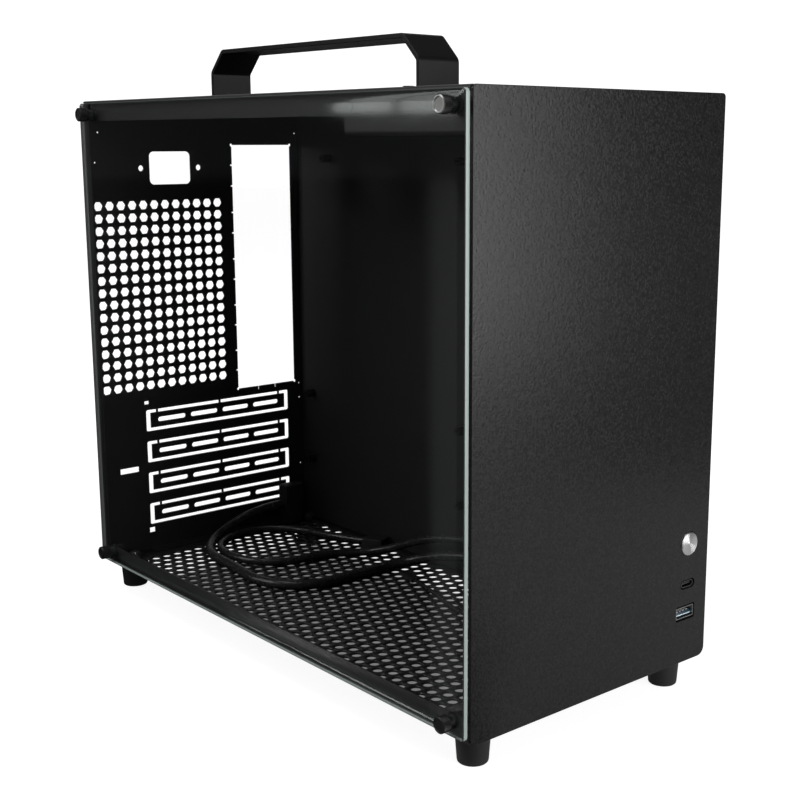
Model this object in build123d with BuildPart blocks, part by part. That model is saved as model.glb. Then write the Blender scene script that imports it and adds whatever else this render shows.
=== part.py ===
"""Portable micro-ATX computer case with a glass side and a strap handle.

The case stands on four rubber feet. X runs from the glass side to the closed side,
Y from the front panel to the rear panel and Z up. The origin is on the floor,
midway between the thumbscrew heads and the closed side, and midway along the depth.
All sizes are in millimetres.
"""

from build123d import *
import os
from math import pi, radians, sqrt, tan

os.makedirs("parts", exist_ok=True)

# Folded steel body
body_width = 162.0
body_depth = 342.0
body_height = 282.0
sheet = 1.0
bend_radius = 1.0
top_lip_height = 11.5
floor_lip_height = 12.0
flange_depth = 10.0
front_thickness = 2.0
front_top_radius = 2.0
front_bottom_radius = 4.5

# Rubber feet
foot_height = 16.0
foot_top_radius = 8.5
foot_bottom_radius = 7.3
foot_side_inset = 14.6
foot_front_inset = 14.5
foot_rear_inset = 9.5
foot_recess_radius = 4.5
foot_recess_depth = 11.0
foot_edge = 0.6

# Glass side panel and its thumbscrews
glass_gap = 1.0
glass_thickness = 2.8
glass_front_inset = 0.5
glass_rear_inset = 3.0
glass_top_inset = 1.5
glass_bottom_inset = 3.2
glass_corner_radius = 2.0
glass_chamfer = 0.4
washer_thickness = 0.7
washer_radius = 3.6
thumb_head_length = 5.1
thumb_head_radius = 3.9
thumb_grooves = 12
thumb_groove_depth = 0.3
thumb_past_nut = 0.5
thumb_shank_radius = 1.45
thumb_bore_radius = 1.5
thumb_end_inset = 9.75
thumb_edge_inset = 6.5
glass_hole_radius = 2.5
glass_nut_radius = 2.8
glass_nut_length = 4.0
spacer_radius = 3.9

# Fasteners of the sheets
rivet_radius = 1.6
rivet_clearance = 0.1
rivet_head_radius = 2.5
rivet_head_height = 0.9
screw_radius = 1.5
screw_clearance = 0.1
screw_head_radius = 2.8
screw_head_height = 1.3
side_screw_front_inset = 110.0
side_screw_rear_inset = 30.0
side_screw_drop = 6.5
side_screw_length = 4.5
front_screw_inset = 30.0
front_screw_drop = 6.0
front_screw_depth = 1.4

# Frame of the model
half_sheet = sheet / 2
screw_reach = glass_gap + glass_thickness + washer_thickness + thumb_head_length
left = (screw_reach - screw_head_height - body_width) / 2
right = left + body_width
front = -body_depth / 2
rear = body_depth / 2
bottom = foot_height
top = bottom + body_height
back_of_front = front + front_thickness
side_inner = right - sheet
glass_inner = left - glass_gap
glass_outer = glass_inner - glass_thickness


def fold(plane, points, thickness=sheet, radius=bend_radius):
    """Section of a folded sheet, drawn along the middle of its thickness."""
    with BuildSketch(plane) as section:
        with BuildLine():
            FilletPolyline(*points, radius=radius)
        trace(line_width=thickness)
    return section.sketch


def block(x, y, z, mode=Mode.ADD):
    """Box between two limits on each axis."""
    middle = ((x[0] + x[1]) / 2, (y[0] + y[1]) / 2, (z[0] + z[1]) / 2)
    with Locations(middle):
        Box(x[1] - x[0], y[1] - y[0], z[1] - z[0], mode=mode)


along_x = (0, 90, 0)
along_y = (90, 0, 0)

# Places shared by the pieces that the thumbscrews hold together
thumb_front = front + glass_front_inset + thumb_end_inset
thumb_rear = rear - glass_rear_inset - thumb_end_inset
thumb_top = top - glass_top_inset - thumb_edge_inset
thumb_bottom = bottom + glass_bottom_inset + thumb_edge_inset
thumb_places = {
    "top_front": (thumb_front, thumb_top),
    "top_rear": (thumb_rear, thumb_top),
    "bottom_front": (thumb_front, thumb_bottom),
    "bottom_rear": (thumb_rear, thumb_bottom),
}
foot_places = {
    "front_left": (left + foot_side_inset, front + foot_front_inset),
    "front_right": (right - foot_side_inset, front + foot_front_inset),
    "rear_left": (left + foot_side_inset, rear - foot_rear_inset),
    "rear_right": (right - foot_side_inset, rear - foot_rear_inset),
}

side_screw_places = [
    (y, z)
    for y in (front + side_screw_front_inset, rear - side_screw_rear_inset)
    for z in (bottom + side_screw_drop, top - side_screw_drop)
]
front_screw_xs = (left + front_screw_inset, right - front_screw_inset)

# Power supply bracket
bracket_sheet = 1.2
bracket_drop = 20.0
bracket_top_gap = 0.6
bracket_front_gap = 0.5
bracket_depth = 83.0
bracket_rivet_front_inset = 17.5
bracket_rivet_rear_inset = 5.5
bracket_rivet_drop = 7.2
bracket_nut_gap = 0.5
supply_spacing_x = 138.0
supply_spacing_y = 64.0
supply_hole_radius = 2.0
supply_window = (112.0, 58.0)
supply_window_corner = 4.0
bracket_front = back_of_front + sheet + bracket_front_gap
bracket_rear = bracket_front + bracket_depth
bracket_rivet_ys = (bracket_front + bracket_rivet_front_inset, bracket_rear - bracket_rivet_rear_inset)
bracket_rivet_z = top - bracket_rivet_drop

# Handle
handle_width = 26.4
handle_thickness = 2.5
handle_length = 195.0
handle_rise = 30.2
handle_shoulder = 11.8
handle_foot_length = 24.0
handle_bend = 3.0
handle_y = 41.0
handle_screw_x = 7.5
handle_screw_inset = 15.0
m4_radius = 2.0
m4_clearance = 0.2
m4_head_radius = 3.8
m4_head_height = 2.2
m4_head_dome = 1.1
m4_socket = 2.5
m4_socket_depth = 1.2
m4_nut_width = 7.0
m4_nut_height = 3.2
m4_nut_gap = 0.05
m4_past_nut = 0.8
handle_x = (left + right) / 2
handle_half = handle_length / 2
handle_screw_places = [
    (handle_x + side * handle_screw_x, handle_y + end * (handle_half - handle_screw_inset))
    for end in (-1, 1)
    for side in (-1, 1)
]

# Mainboard tray, standing off the closed side
tray_gap = 11.0
tray_front_inset = 87.0
tray_flange = 7.5
standoff_height = 6.5
standoff_width = 5.0
standoff_bore_radius = 1.25
standoff_bore_depth = 4.5
tray_inner = right - tray_gap
board_top_hole = 33.9
board_columns = (13.27, 36.13, 168.21, 240.6)
board_rows = (0.0, 157.48, 203.2)

# Rear openings, measured from the glass side edge and up from the body's bottom
return_depth = 9.5
return_left_inset = 29.2
return_right_inset = 34.1
vent_pitch = 7.5
vent_columns = 12
vent_rows = 16
vent_hole_diameter = 5.5
vent_x = 47.3
vent_z = 164.2
inlet_x = 55.5
inlet_z = 242.7
inlet_width = 28.6
inlet_height = 20.0
inlet_corner = 3.0
inlet_screw_spacing = 40.0
inlet_screw_radius = 1.8
io_x = 122.5
io_z = 177.0
io_width = 45.0
io_height = 159.0
io_notch_width = 0.9
io_notch_depth = 1.2
io_notch_spread = 13.2
io_notch_pitch = 30.1
io_notch_pairs = 5
io_corner_relief = 1.0
slot_pitch = 20.32
slot_count = 4
slot_x = 85.4
slot_top_z = 92.1
slot_width = 107.6
slot_height = 13.8
slot_corner = 1.2
slot_end_cut = 3.3
slot_edge_cut = 2.1
slot_bridge = 1.1
slot_bridge_spread = 45.9
blank_hole_pitch = 23.7
blank_hole_length = 20.0
blank_hole_height = 3.0
square_holes = [(32.4, 96.9, 3.3, 2.2), (32.7, 13.6, 4.0, 3.4), (18.7, 55.0, 13.0, 3.6)]
small_holes = [(8.1, 264.1), (5.4, 246.4), (149.0, 264.0), (148.5, 95.6), (148.5, 85.7), (148.5, 39.1)]
small_hole_radius = 0.6

# Floor perforation: every second hole of every second row is cut here, six-sided
floor_pitch_x = 7.5
floor_pitch_y = 7.45
floor_first_x = 17.0
floor_first_y = 39.6
floor_rows = 39
floor_columns = 18
floor_hole_diameter = 5.5
coarse_step = 2

# A hexagon with the same area as a round hole of the given diameter
hexagon_ratio = sqrt(2 * pi / (3 * sqrt(3))) / 2

# Front panel: power button, USB-C and USB-A
controls_x = 146.8
button_z = 62.3
usb_c_z = 41.2
usb_a_z = 26.4
usb_a_x = 145.7
button_radius = 6.0
button_clearance = 0.3
button_proud = 0.8
button_edge = 0.5
button_flange_radius = 7.4
button_flange = 1.0
button_rest_gap = 0.1
stem_radius = 2.0
guide_radius = 8.4
guide_wall = 0.9
guide_length = 7.0
usb_c_cutout = (11.0, 4.8)
usb_a_cutout = (14.2, 8.0)
usb_a_cutout_corner = 0.8

# Circuit board behind the controls
board_gap = 12.0
board_thickness = 1.6
board_width = 22.0
board_overhang = 12.0
post_radius = 2.4
post_screw_radius = 1.25
post_thread_gap = 0.05
post_screw_head_radius = 2.3
post_screw_length = 6.0
post_inset = 4.0
switch_side = 6.0
switch_depth = 3.5
plunger_radius = 1.7
plunger_out = 1.2
plunger_length = 2.2
plunger_bore_depth = 2.5
plunger_clearance = 0.08
port_wall = 0.35
port_recess = 0.4
port_block = 4.5
tongue_recess = 1.0
usb_c_size = (9.0, 3.3)
usb_c_tongue_size = (6.7, 0.7)
usb_a_size = (13.2, 5.8)
usb_a_tongue_size = (11.2, 1.9)
usb_a_tongue_drop = 1.75
contact_width = 1.2
contact_thickness = 0.25
contact_pitch = 2.5
contact_setback = 0.8

control_x = left + controls_x
port_x = left + usb_a_x
board_front = back_of_front + board_gap
board_back = board_front + board_thickness
switch_front = board_front - switch_depth
button_height = bottom + button_z
usb_c_height = bottom + usb_c_z
usb_a_height = bottom + usb_a_z
board_low = usb_a_height - board_overhang
board_high = button_height + board_overhang + post_radius + post_inset
post_places = [(control_x, board_low + post_inset), (control_x, board_high - post_inset)]

# Cables
usb_a_cable_diameter = 6.0
usb_c_cable_diameter = 5.0
switch_lead_diameter = 2.4
cable_rest = 0.3
boot_length = 9.0
usb_a_boot_size = (16.0, 8.0)
usb_c_boot_size = (12.0, 7.0)
switch_boot_size = (6.0, 4.5)
usb_a_plug_size = (9.0, 26.0, 14.0)
usb_c_plug_size = (11.0, 6.6, 14.0)
switch_plug_size = (5.2, 2.6, 13.0)


# Top panel: one folded sheet with a lip down each side and a flange behind the front
with BuildPart() as top_panel:
    extrude(
        fold(
            Plane.XZ.offset(-rear),
            [
                (left + half_sheet, top - top_lip_height),
                (left + half_sheet, top - half_sheet),
                (side_inner - half_sheet, top - half_sheet),
                (side_inner - half_sheet, top - top_lip_height),
            ],
        ),
        amount=rear - back_of_front,
    )
    extrude(
        fold(
            Plane.YZ.offset(left + flange_depth),
            [
                (back_of_front + half_sheet, top - flange_depth),
                (back_of_front + half_sheet, top - half_sheet),
                (back_of_front + flange_depth, top - half_sheet),
            ],
        ),
        amount=body_width - 2 * flange_depth - sheet,
    )
    block(
        (left - sheet, right + sheet),
        (rear - return_depth, rear + sheet),
        (top - top_lip_height - sheet, top - sheet),
        mode=Mode.SUBTRACT,
    )
    with Locations(*[(left, y, z) for y, z in thumb_places.values() if z > body_height / 2]):
        Cylinder(thumb_bore_radius + screw_clearance, 4 * sheet, rotation=along_x, mode=Mode.SUBTRACT)
    with Locations(*[(x, y, bracket_rivet_z) for x in (left, side_inner) for y in bracket_rivet_ys]):
        Cylinder(rivet_radius + rivet_clearance, 4 * sheet, rotation=along_x, mode=Mode.SUBTRACT)
    with Locations(*[(side_inner, y, z) for y, z in side_screw_places]):
        Cylinder(screw_radius + screw_clearance, 4 * sheet, rotation=along_x, mode=Mode.SUBTRACT)
    with Locations(*[(x, back_of_front, top - front_screw_drop) for x in front_screw_xs]):
        Cylinder(screw_radius + screw_clearance, 4 * sheet, rotation=along_y, mode=Mode.SUBTRACT)
    with Locations(*[(x, y, top) for x, y in handle_screw_places]):
        Cylinder(m4_radius + m4_clearance, 4 * sheet, mode=Mode.SUBTRACT)
top_panel.part.label = "top_panel"
export_step(top_panel.part, "parts/top_panel.step")


# Floor panel: the same fold upside down, pierced with staggered round holes
floor_top = bottom + sheet
floor_hole_places = [
    (
        left + floor_first_x + (row // coarse_step % 2 + column) * floor_pitch_x,
        front + floor_first_y + row * floor_pitch_y,
    )
    for row in range(0, floor_rows, coarse_step)
    for column in range(0, floor_columns - 1, coarse_step)
]
with BuildPart() as floor_panel:
    extrude(
        fold(
            Plane.XZ.offset(-rear),
            [
                (left + half_sheet, bottom + floor_lip_height),
                (left + half_sheet, bottom + half_sheet),
                (side_inner - half_sheet, bottom + half_sheet),
                (side_inner - half_sheet, bottom + floor_lip_height),
            ],
        ),
        amount=rear - back_of_front,
    )
    extrude(
        fold(
            Plane.YZ.offset(left + flange_depth),
            [
                (back_of_front + half_sheet, bottom + flange_depth),
                (back_of_front + half_sheet, bottom + half_sheet),
                (back_of_front + flange_depth, bottom + half_sheet),
            ],
        ),
        amount=body_width - 2 * flange_depth - sheet,
    )
    block(
        (left - sheet, right + sheet),
        (rear - return_depth, rear + sheet),
        (floor_top, bottom + floor_lip_height + sheet),
        mode=Mode.SUBTRACT,
    )
    with BuildSketch(Plane.XY.offset(bottom)):
        with Locations(*floor_hole_places):
            RegularPolygon(radius=floor_hole_diameter * hexagon_ratio, side_count=6)
    extrude(amount=sheet, mode=Mode.SUBTRACT)
    with Locations(*[(left, y, z) for y, z in thumb_places.values() if z < body_height / 2]):
        Cylinder(thumb_bore_radius + screw_clearance, 4 * sheet, rotation=along_x, mode=Mode.SUBTRACT)
    with Locations(*[(side_inner, y, z) for y, z in side_screw_places]):
        Cylinder(screw_radius + screw_clearance, 4 * sheet, rotation=along_x, mode=Mode.SUBTRACT)
    with Locations(*[(x, back_of_front, bottom + front_screw_drop) for x in front_screw_xs]):
        Cylinder(screw_radius + screw_clearance, 4 * sheet, rotation=along_y, mode=Mode.SUBTRACT)
    with Locations(*[(x, y, bottom) for x, y in foot_places.values()]):
        Cylinder(m4_radius + m4_clearance, 4 * sheet, mode=Mode.SUBTRACT)
floor_panel.part.label = "floor_panel"
export_step(floor_panel.part, "parts/floor_panel.step")


# Rear panel: folded tray with the vent, the inlet, the I/O opening and the slot blanks
rear_low = bottom + sheet
rear_high = top - sheet
with BuildPart() as rear_panel:
    extrude(
        fold(
            Plane.XY.offset(rear_low),
            [
                (left + half_sheet, rear - return_depth),
                (left + half_sheet, rear - half_sheet),
                (side_inner - half_sheet, rear - half_sheet),
                (side_inner - half_sheet, rear - return_depth),
            ],
        ),
        amount=rear_high - rear_low,
    )
    for edge, inward in ((rear_low + half_sheet, 1), (rear_high - half_sheet, -1)):
        extrude(
            fold(
                Plane.YZ.offset(left + return_left_inset),
                [
                    (rear - return_depth, edge),
                    (rear - half_sheet, edge),
                    (rear - half_sheet, edge + inward * return_depth),
                ],
            ),
            amount=body_width - return_left_inset - return_right_inset,
        )

    # Vent and the bare holes
    with BuildSketch(Plane.XZ.offset(-rear)):
        with Locations((left + vent_x, bottom + vent_z)):
            with GridLocations(vent_pitch, vent_pitch, vent_columns, vent_rows):
                RegularPolygon(radius=vent_hole_diameter * hexagon_ratio, side_count=6)
        for hole_x, hole_z, hole_width, hole_height in square_holes:
            with Locations((left + hole_x, bottom + hole_z)):
                Rectangle(hole_width, hole_height)
        with Locations(*[(left + hole_x, bottom + hole_z) for hole_x, hole_z in small_holes]):
            Circle(small_hole_radius)
    extrude(amount=sheet, mode=Mode.SUBTRACT)

    # Mains inlet: cut-out between two screw holes
    with BuildSketch(Plane.XZ.offset(-rear)):
        with Locations((left + inlet_x, bottom + inlet_z)):
            RectangleRounded(inlet_width, inlet_height, inlet_corner)
            with GridLocations(inlet_screw_spacing, 1, 2, 1):
                Circle(inlet_screw_radius)
    extrude(amount=sheet, mode=Mode.SUBTRACT)

    # I/O opening: pairs of notches beside the spring fingers, reliefs at the corners
    with BuildSketch(Plane.XZ.offset(-rear)):
        with Locations((left + io_x, bottom + io_z)):
            Rectangle(io_width, io_height)
            with GridLocations(io_width, io_height, 2, 2):
                Circle(io_corner_relief)
            for pair in range(io_notch_pairs):
                pair_z = (io_notch_pairs - 1 - 2 * pair) / 2 * io_notch_pitch
                for side in (-0.5, 0.5):
                    with Locations((-io_width / 2, pair_z + side * io_notch_spread)):
                        Rectangle(2 * io_notch_depth, io_notch_width)
            for side in (-0.5, 0.5):
                with Locations((side * io_notch_spread, -io_height / 2)):
                    Rectangle(io_notch_width, 4 * io_notch_depth)
    extrude(amount=sheet, mode=Mode.SUBTRACT)

    # Expansion slots: each blank hangs in its opening on three thin bridges
    with BuildSketch(Plane.XZ.offset(-rear)):
        for slot in range(slot_count):
            slot_z = bottom + slot_top_z - slot_height / 2 - slot * slot_pitch
            with Locations((left + slot_x, slot_z)):
                RectangleRounded(slot_width, slot_height, slot_corner)
                Rectangle(
                    slot_width - 2 * slot_end_cut, slot_height - 2 * slot_edge_cut, mode=Mode.SUBTRACT
                )
            for bridge in (-1, 0, 1):
                with Locations(
                    (left + slot_x + bridge * slot_bridge_spread, slot_z + slot_height / 2 - slot_edge_cut)
                ):
                    Rectangle(slot_bridge, 3 * slot_edge_cut, mode=Mode.SUBTRACT)
            with Locations((left + slot_x, slot_z)):
                with GridLocations(blank_hole_pitch, 1, 4, 1):
                    SlotOverall(blank_hole_length, blank_hole_height)
    extrude(amount=sheet, mode=Mode.SUBTRACT)
rear_panel.part.label = "rear_panel"
export_step(rear_panel.part, "parts/rear_panel.step")


# Closed side panel: a flat sheet held by four screws
with BuildPart() as side_panel:
    block((side_inner, right), (back_of_front, rear), (bottom, top))
    with Locations(*[(right, y, z) for y, z in side_screw_places]):
        Cylinder(screw_radius + screw_clearance, 4 * sheet, rotation=along_x, mode=Mode.SUBTRACT)
side_panel.part.label = "side_panel"
export_step(side_panel.part, "parts/side_panel.step")

with BuildPart() as side_screws:
    with Locations(*[(right + screw_head_height / 2, y, z) for y, z in side_screw_places]):
        Cylinder(screw_head_radius, screw_head_height, rotation=along_x)
    with Locations(*[(right - side_screw_length / 2, y, z) for y, z in side_screw_places]):
        Cylinder(screw_radius, side_screw_length, rotation=along_x)
side_screws.part.label = "side_screws"
export_step(side_screws.part, "parts/side_screws.step")


# Mainboard tray: flat plate with a flange along the top and the bottom
tray_front = front + tray_front_inset
board_hole_z = top - board_top_hole
standoff_places = [
    (rear - sheet - board_columns[0], board_hole_z - board_rows[1]),
    (rear - sheet - board_columns[0], board_hole_z - board_rows[2]),
    (rear - sheet - board_columns[1], board_hole_z - board_rows[0]),
] + [
    (rear - sheet - column, board_hole_z - row)
    for column in board_columns[2:]
    for row in board_rows
]
with BuildPart() as mainboard_tray:
    extrude(
        fold(
            Plane.XZ.offset(-(rear - sheet)),
            [
                (tray_inner + tray_flange, rear_low + half_sheet),
                (tray_inner + half_sheet, rear_low + half_sheet),
                (tray_inner + half_sheet, rear_high - half_sheet),
                (tray_inner + tray_flange, rear_high - half_sheet),
            ],
        ),
        amount=rear - sheet - tray_front,
    )
mainboard_tray.part.label = "mainboard_tray"
export_step(mainboard_tray.part, "parts/mainboard_tray.step")

# Standoffs: hexagonal, pressed into the tray, each with a blind thread
with BuildPart() as standoffs:
    with BuildSketch(Plane.YZ.offset(tray_inner)):
        with Locations(*standoff_places):
            RegularPolygon(radius=standoff_width / 2, side_count=6, major_radius=False)
    extrude(amount=-standoff_height)
    with BuildSketch(Plane.YZ.offset(tray_inner - standoff_height)):
        with Locations(*standoff_places):
            Circle(standoff_bore_radius)
    extrude(amount=standoff_bore_depth, mode=Mode.SUBTRACT)
standoffs.part.label = "standoffs"
export_step(standoffs.part, "parts/standoffs.step")


# Power supply bracket: a channel that hangs under the top panel at the front
bracket_z = top - bracket_drop
bracket_left = left + sheet + bracket_sheet / 2
bracket_right = side_inner - sheet - bracket_sheet / 2
bracket_middle = ((bracket_left + bracket_right) / 2, (bracket_front + bracket_rear) / 2)
with BuildPart() as supply_bracket:
    extrude(
        fold(
            Plane.XZ.offset(-bracket_rear),
            [
                (bracket_left, rear_high - bracket_top_gap),
                (bracket_left, bracket_z + bracket_sheet / 2),
                (bracket_right, bracket_z + bracket_sheet / 2),
                (bracket_right, rear_high - bracket_top_gap),
            ],
            thickness=bracket_sheet,
            radius=bracket_sheet,
        ),
        amount=bracket_rear - bracket_front,
    )
    with BuildSketch(Plane.XY.offset(bracket_z)):
        with Locations(bracket_middle):
            RectangleRounded(*supply_window, supply_window_corner)
            with GridLocations(supply_spacing_x, supply_spacing_y, 2, 2):
                Circle(supply_hole_radius)
    extrude(amount=2 * bracket_sheet, mode=Mode.SUBTRACT)
    bracket_sides = (bracket_left, bracket_right)
    with Locations(*[(x, y, bracket_rivet_z) for x in bracket_sides for y in bracket_rivet_ys]):
        Cylinder(rivet_radius + rivet_clearance, 3 * bracket_sheet, rotation=along_x, mode=Mode.SUBTRACT)
    with Locations((bracket_left, thumb_front, thumb_top)):
        Cylinder(
            glass_nut_radius + bracket_nut_gap,
            3 * bracket_sheet,
            rotation=along_x,
            mode=Mode.SUBTRACT,
        )
supply_bracket.part.label = "supply_bracket"
export_step(supply_bracket.part, "parts/supply_bracket.step")

# Rivets that hold the bracket to the lips of the top panel
with BuildPart() as bracket_rivets:
    rivet_grip = sheet + bracket_sheet
    for face in (left, side_inner - rivet_grip):
        with Locations(*[(face - rivet_head_height / 2, y, bracket_rivet_z) for y in bracket_rivet_ys]):
            Cylinder(rivet_head_radius, rivet_head_height, rotation=along_x)
        with Locations(*[(face + rivet_grip / 2, y, bracket_rivet_z) for y in bracket_rivet_ys]):
            Cylinder(rivet_radius, rivet_grip, rotation=along_x)
bracket_rivets.part.label = "bracket_rivets"
export_step(bracket_rivets.part, "parts/bracket_rivets.step")


# Front panel: one flat plate with the cut-outs for the button and the ports
with BuildPart() as front_panel:
    block((left, right), (front, back_of_front), (bottom, top))
    upright = front_panel.edges().filter_by(Axis.Y)
    fillet(upright.group_by(Axis.Z)[-1], front_top_radius)
    fillet(front_panel.edges().filter_by(Axis.Y).group_by(Axis.Z)[0], front_bottom_radius)
    with BuildSketch(Plane.XZ.offset(-front)):
        with Locations((control_x, button_height)):
            Circle(button_radius + button_clearance)
        with Locations((control_x, usb_c_height)):
            SlotOverall(*usb_c_cutout)
        with Locations((port_x, usb_a_height)):
            RectangleRounded(*usb_a_cutout, usb_a_cutout_corner)
    extrude(amount=-front_thickness, mode=Mode.SUBTRACT)
    with Locations(
        *[
            (x, back_of_front, z)
            for x in front_screw_xs
            for z in (bottom + front_screw_drop, top - front_screw_drop)
        ]
    ):
        Cylinder(
            screw_radius + screw_clearance,
            2 * (front_screw_depth + screw_clearance),
            rotation=along_y,
            mode=Mode.SUBTRACT,
        )
front_panel.part.label = "front_panel"
export_step(front_panel.part, "parts/front_panel.step")

# Screws from inside, through the flanges into the back of the front panel
with BuildPart() as front_screws:
    flange_back = back_of_front + sheet
    for x in front_screw_xs:
        for z in (bottom + front_screw_drop, top - front_screw_drop):
            with Locations((x, flange_back + screw_head_height / 2, z)):
                Cylinder(screw_head_radius, screw_head_height, rotation=along_y)
            with Locations((x, flange_back - (sheet + front_screw_depth) / 2, z)):
                Cylinder(screw_radius, sheet + front_screw_depth, rotation=along_y)
front_screws.part.label = "front_screws"
export_step(front_screws.part, "parts/front_screws.step")


# Power button: turned cap with a flange that the guide traps behind the panel
cap_front = front - button_proud
cap_back = back_of_front + button_rest_gap
with BuildPart() as power_button:
    with BuildSketch(Plane.YZ.offset(control_x)):
        Polygon(
            (cap_front, button_height),
            (cap_front, button_height + button_radius - button_edge),
            (cap_front + button_edge, button_height + button_radius),
            (cap_back, button_height + button_radius),
            (cap_back, button_height + button_flange_radius),
            (cap_back + button_flange, button_height + button_flange_radius),
            (cap_back + button_flange, button_height + stem_radius),
            (switch_front - plunger_out, button_height + stem_radius),
            (switch_front - plunger_out, button_height),
            align=None,
        )
    revolve(axis=Axis((control_x, 0, button_height), (0, 1, 0)))
power_button.part.label = "power_button"
export_step(power_button.part, "parts/power_button.step")

# Guide tube that holds the button straight
with BuildPart() as button_guide:
    with BuildSketch(Plane.XZ.offset(-(back_of_front + guide_length))):
        with Locations((control_x, button_height)):
            Circle(guide_radius)
            Circle(guide_radius - guide_wall, mode=Mode.SUBTRACT)
    extrude(amount=guide_length)
button_guide.part.label = "button_guide"
export_step(button_guide.part, "parts/button_guide.step")

# Power switch: housing on the board, open at the front for its plunger
with BuildPart() as power_switch:
    block(
        (control_x - switch_side / 2, control_x + switch_side / 2),
        (switch_front, board_front),
        (button_height - switch_side / 2, button_height + switch_side / 2),
    )
    with Locations((control_x, switch_front + plunger_bore_depth / 2, button_height)):
        Cylinder(
            plunger_radius + plunger_clearance,
            plunger_bore_depth,
            rotation=along_y,
            mode=Mode.SUBTRACT,
        )
power_switch.part.label = "power_switch"
export_step(power_switch.part, "parts/power_switch.step")

# Plunger of the switch, which travels with the button
with BuildPart() as switch_plunger:
    with Locations((control_x, switch_front - plunger_out + plunger_length / 2, button_height)):
        Cylinder(plunger_radius, plunger_length, rotation=along_y)
switch_plunger.part.label = "switch_plunger"
export_step(switch_plunger.part, "parts/switch_plunger.step")


# Circuit board behind the front panel, on two posts
with BuildPart() as io_board:
    block(
        (control_x - board_width / 2, control_x + board_width / 2),
        (board_front, board_back),
        (board_low, board_high),
    )
    with Locations(*[(x, board_front, z) for x, z in post_places]):
        Cylinder(
            post_screw_radius + screw_clearance,
            4 * board_thickness,
            rotation=along_y,
            mode=Mode.SUBTRACT,
        )
io_board.part.label = "io_board"
export_step(io_board.part, "parts/io_board.step")

with BuildPart() as io_posts:
    with BuildSketch(Plane.XZ.offset(-board_front)):
        with Locations(*post_places):
            Circle(post_radius)
            Circle(post_screw_radius + post_thread_gap, mode=Mode.SUBTRACT)
    extrude(amount=board_gap)
io_posts.part.label = "io_posts"
export_step(io_posts.part, "parts/io_posts.step")

with BuildPart() as io_screws:
    with Locations(*[(x, board_back + screw_head_height / 2, z) for x, z in post_places]):
        Cylinder(post_screw_head_radius, screw_head_height, rotation=along_y)
    with Locations(*[(x, board_back - post_screw_length / 2, z) for x, z in post_places]):
        Cylinder(post_screw_radius, post_screw_length, rotation=along_y)
io_screws.part.label = "io_screws"
export_step(io_screws.part, "parts/io_screws.step")


# USB-C port: drawn steel shell, tongue on a block that fills the shell's back
port_front = front + port_recess
port_length = board_front - port_front
with BuildPart() as usb_c_shell:
    with BuildSketch(Plane.XZ.offset(-board_front)):
        with Locations((control_x, usb_c_height)):
            SlotOverall(*usb_c_size)
            SlotOverall(usb_c_size[0] - 2 * port_wall, usb_c_size[1] - 2 * port_wall, mode=Mode.SUBTRACT)
    extrude(amount=port_length)
usb_c_shell.part.label = "usb_c_shell"
export_step(usb_c_shell.part, "parts/usb_c_shell.step")

with BuildPart() as usb_c_tongue:
    with BuildSketch(Plane.XZ.offset(-board_front)):
        with Locations((control_x, usb_c_height)):
            SlotOverall(usb_c_size[0] - 2 * port_wall, usb_c_size[1] - 2 * port_wall)
    extrude(amount=port_block)
    block(
        (control_x - usb_c_tongue_size[0] / 2, control_x + usb_c_tongue_size[0] / 2),
        (port_front + tongue_recess, board_front - port_block),
        (usb_c_height - usb_c_tongue_size[1] / 2, usb_c_height + usb_c_tongue_size[1] / 2),
    )
usb_c_tongue.part.label = "usb_c_tongue"
export_step(usb_c_tongue.part, "parts/usb_c_tongue.step")


# USB-A port: shell, tongue and four contact strips on top of the tongue
with BuildPart() as usb_a_shell:
    with BuildSketch(Plane.XZ.offset(-board_front)):
        with Locations((port_x, usb_a_height)):
            Rectangle(*usb_a_size)
            Rectangle(usb_a_size[0] - 2 * port_wall, usb_a_size[1] - 2 * port_wall, mode=Mode.SUBTRACT)
    extrude(amount=port_length)
usb_a_shell.part.label = "usb_a_shell"
export_step(usb_a_shell.part, "parts/usb_a_shell.step")

tongue_low = usb_a_height - usb_a_tongue_drop
tongue_high = tongue_low + usb_a_tongue_size[1]
with BuildPart() as usb_a_tongue:
    with BuildSketch(Plane.XZ.offset(-board_front)):
        with Locations((port_x, usb_a_height)):
            Rectangle(usb_a_size[0] - 2 * port_wall, usb_a_size[1] - 2 * port_wall)
    extrude(amount=port_block)
    block(
        (port_x - usb_a_tongue_size[0] / 2, port_x + usb_a_tongue_size[0] / 2),
        (port_front + tongue_recess, board_front - port_block),
        (tongue_low, tongue_high),
    )
usb_a_tongue.part.label = "usb_a_tongue"
export_step(usb_a_tongue.part, "parts/usb_a_tongue.step")

with BuildPart() as usb_a_contacts:
    contact_front = port_front + tongue_recess + contact_setback
    contact_back = board_front - port_block
    contact_middle = (contact_front + contact_back) / 2
    with Locations((port_x, contact_middle, tongue_high + contact_thickness / 2)):
        with GridLocations(contact_pitch, 1, 4, 1):
            Box(contact_width, contact_back - contact_front, contact_thickness)
usb_a_contacts.part.label = "usb_a_contacts"
export_step(usb_a_contacts.part, "parts/usb_a_contacts.step")


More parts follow.
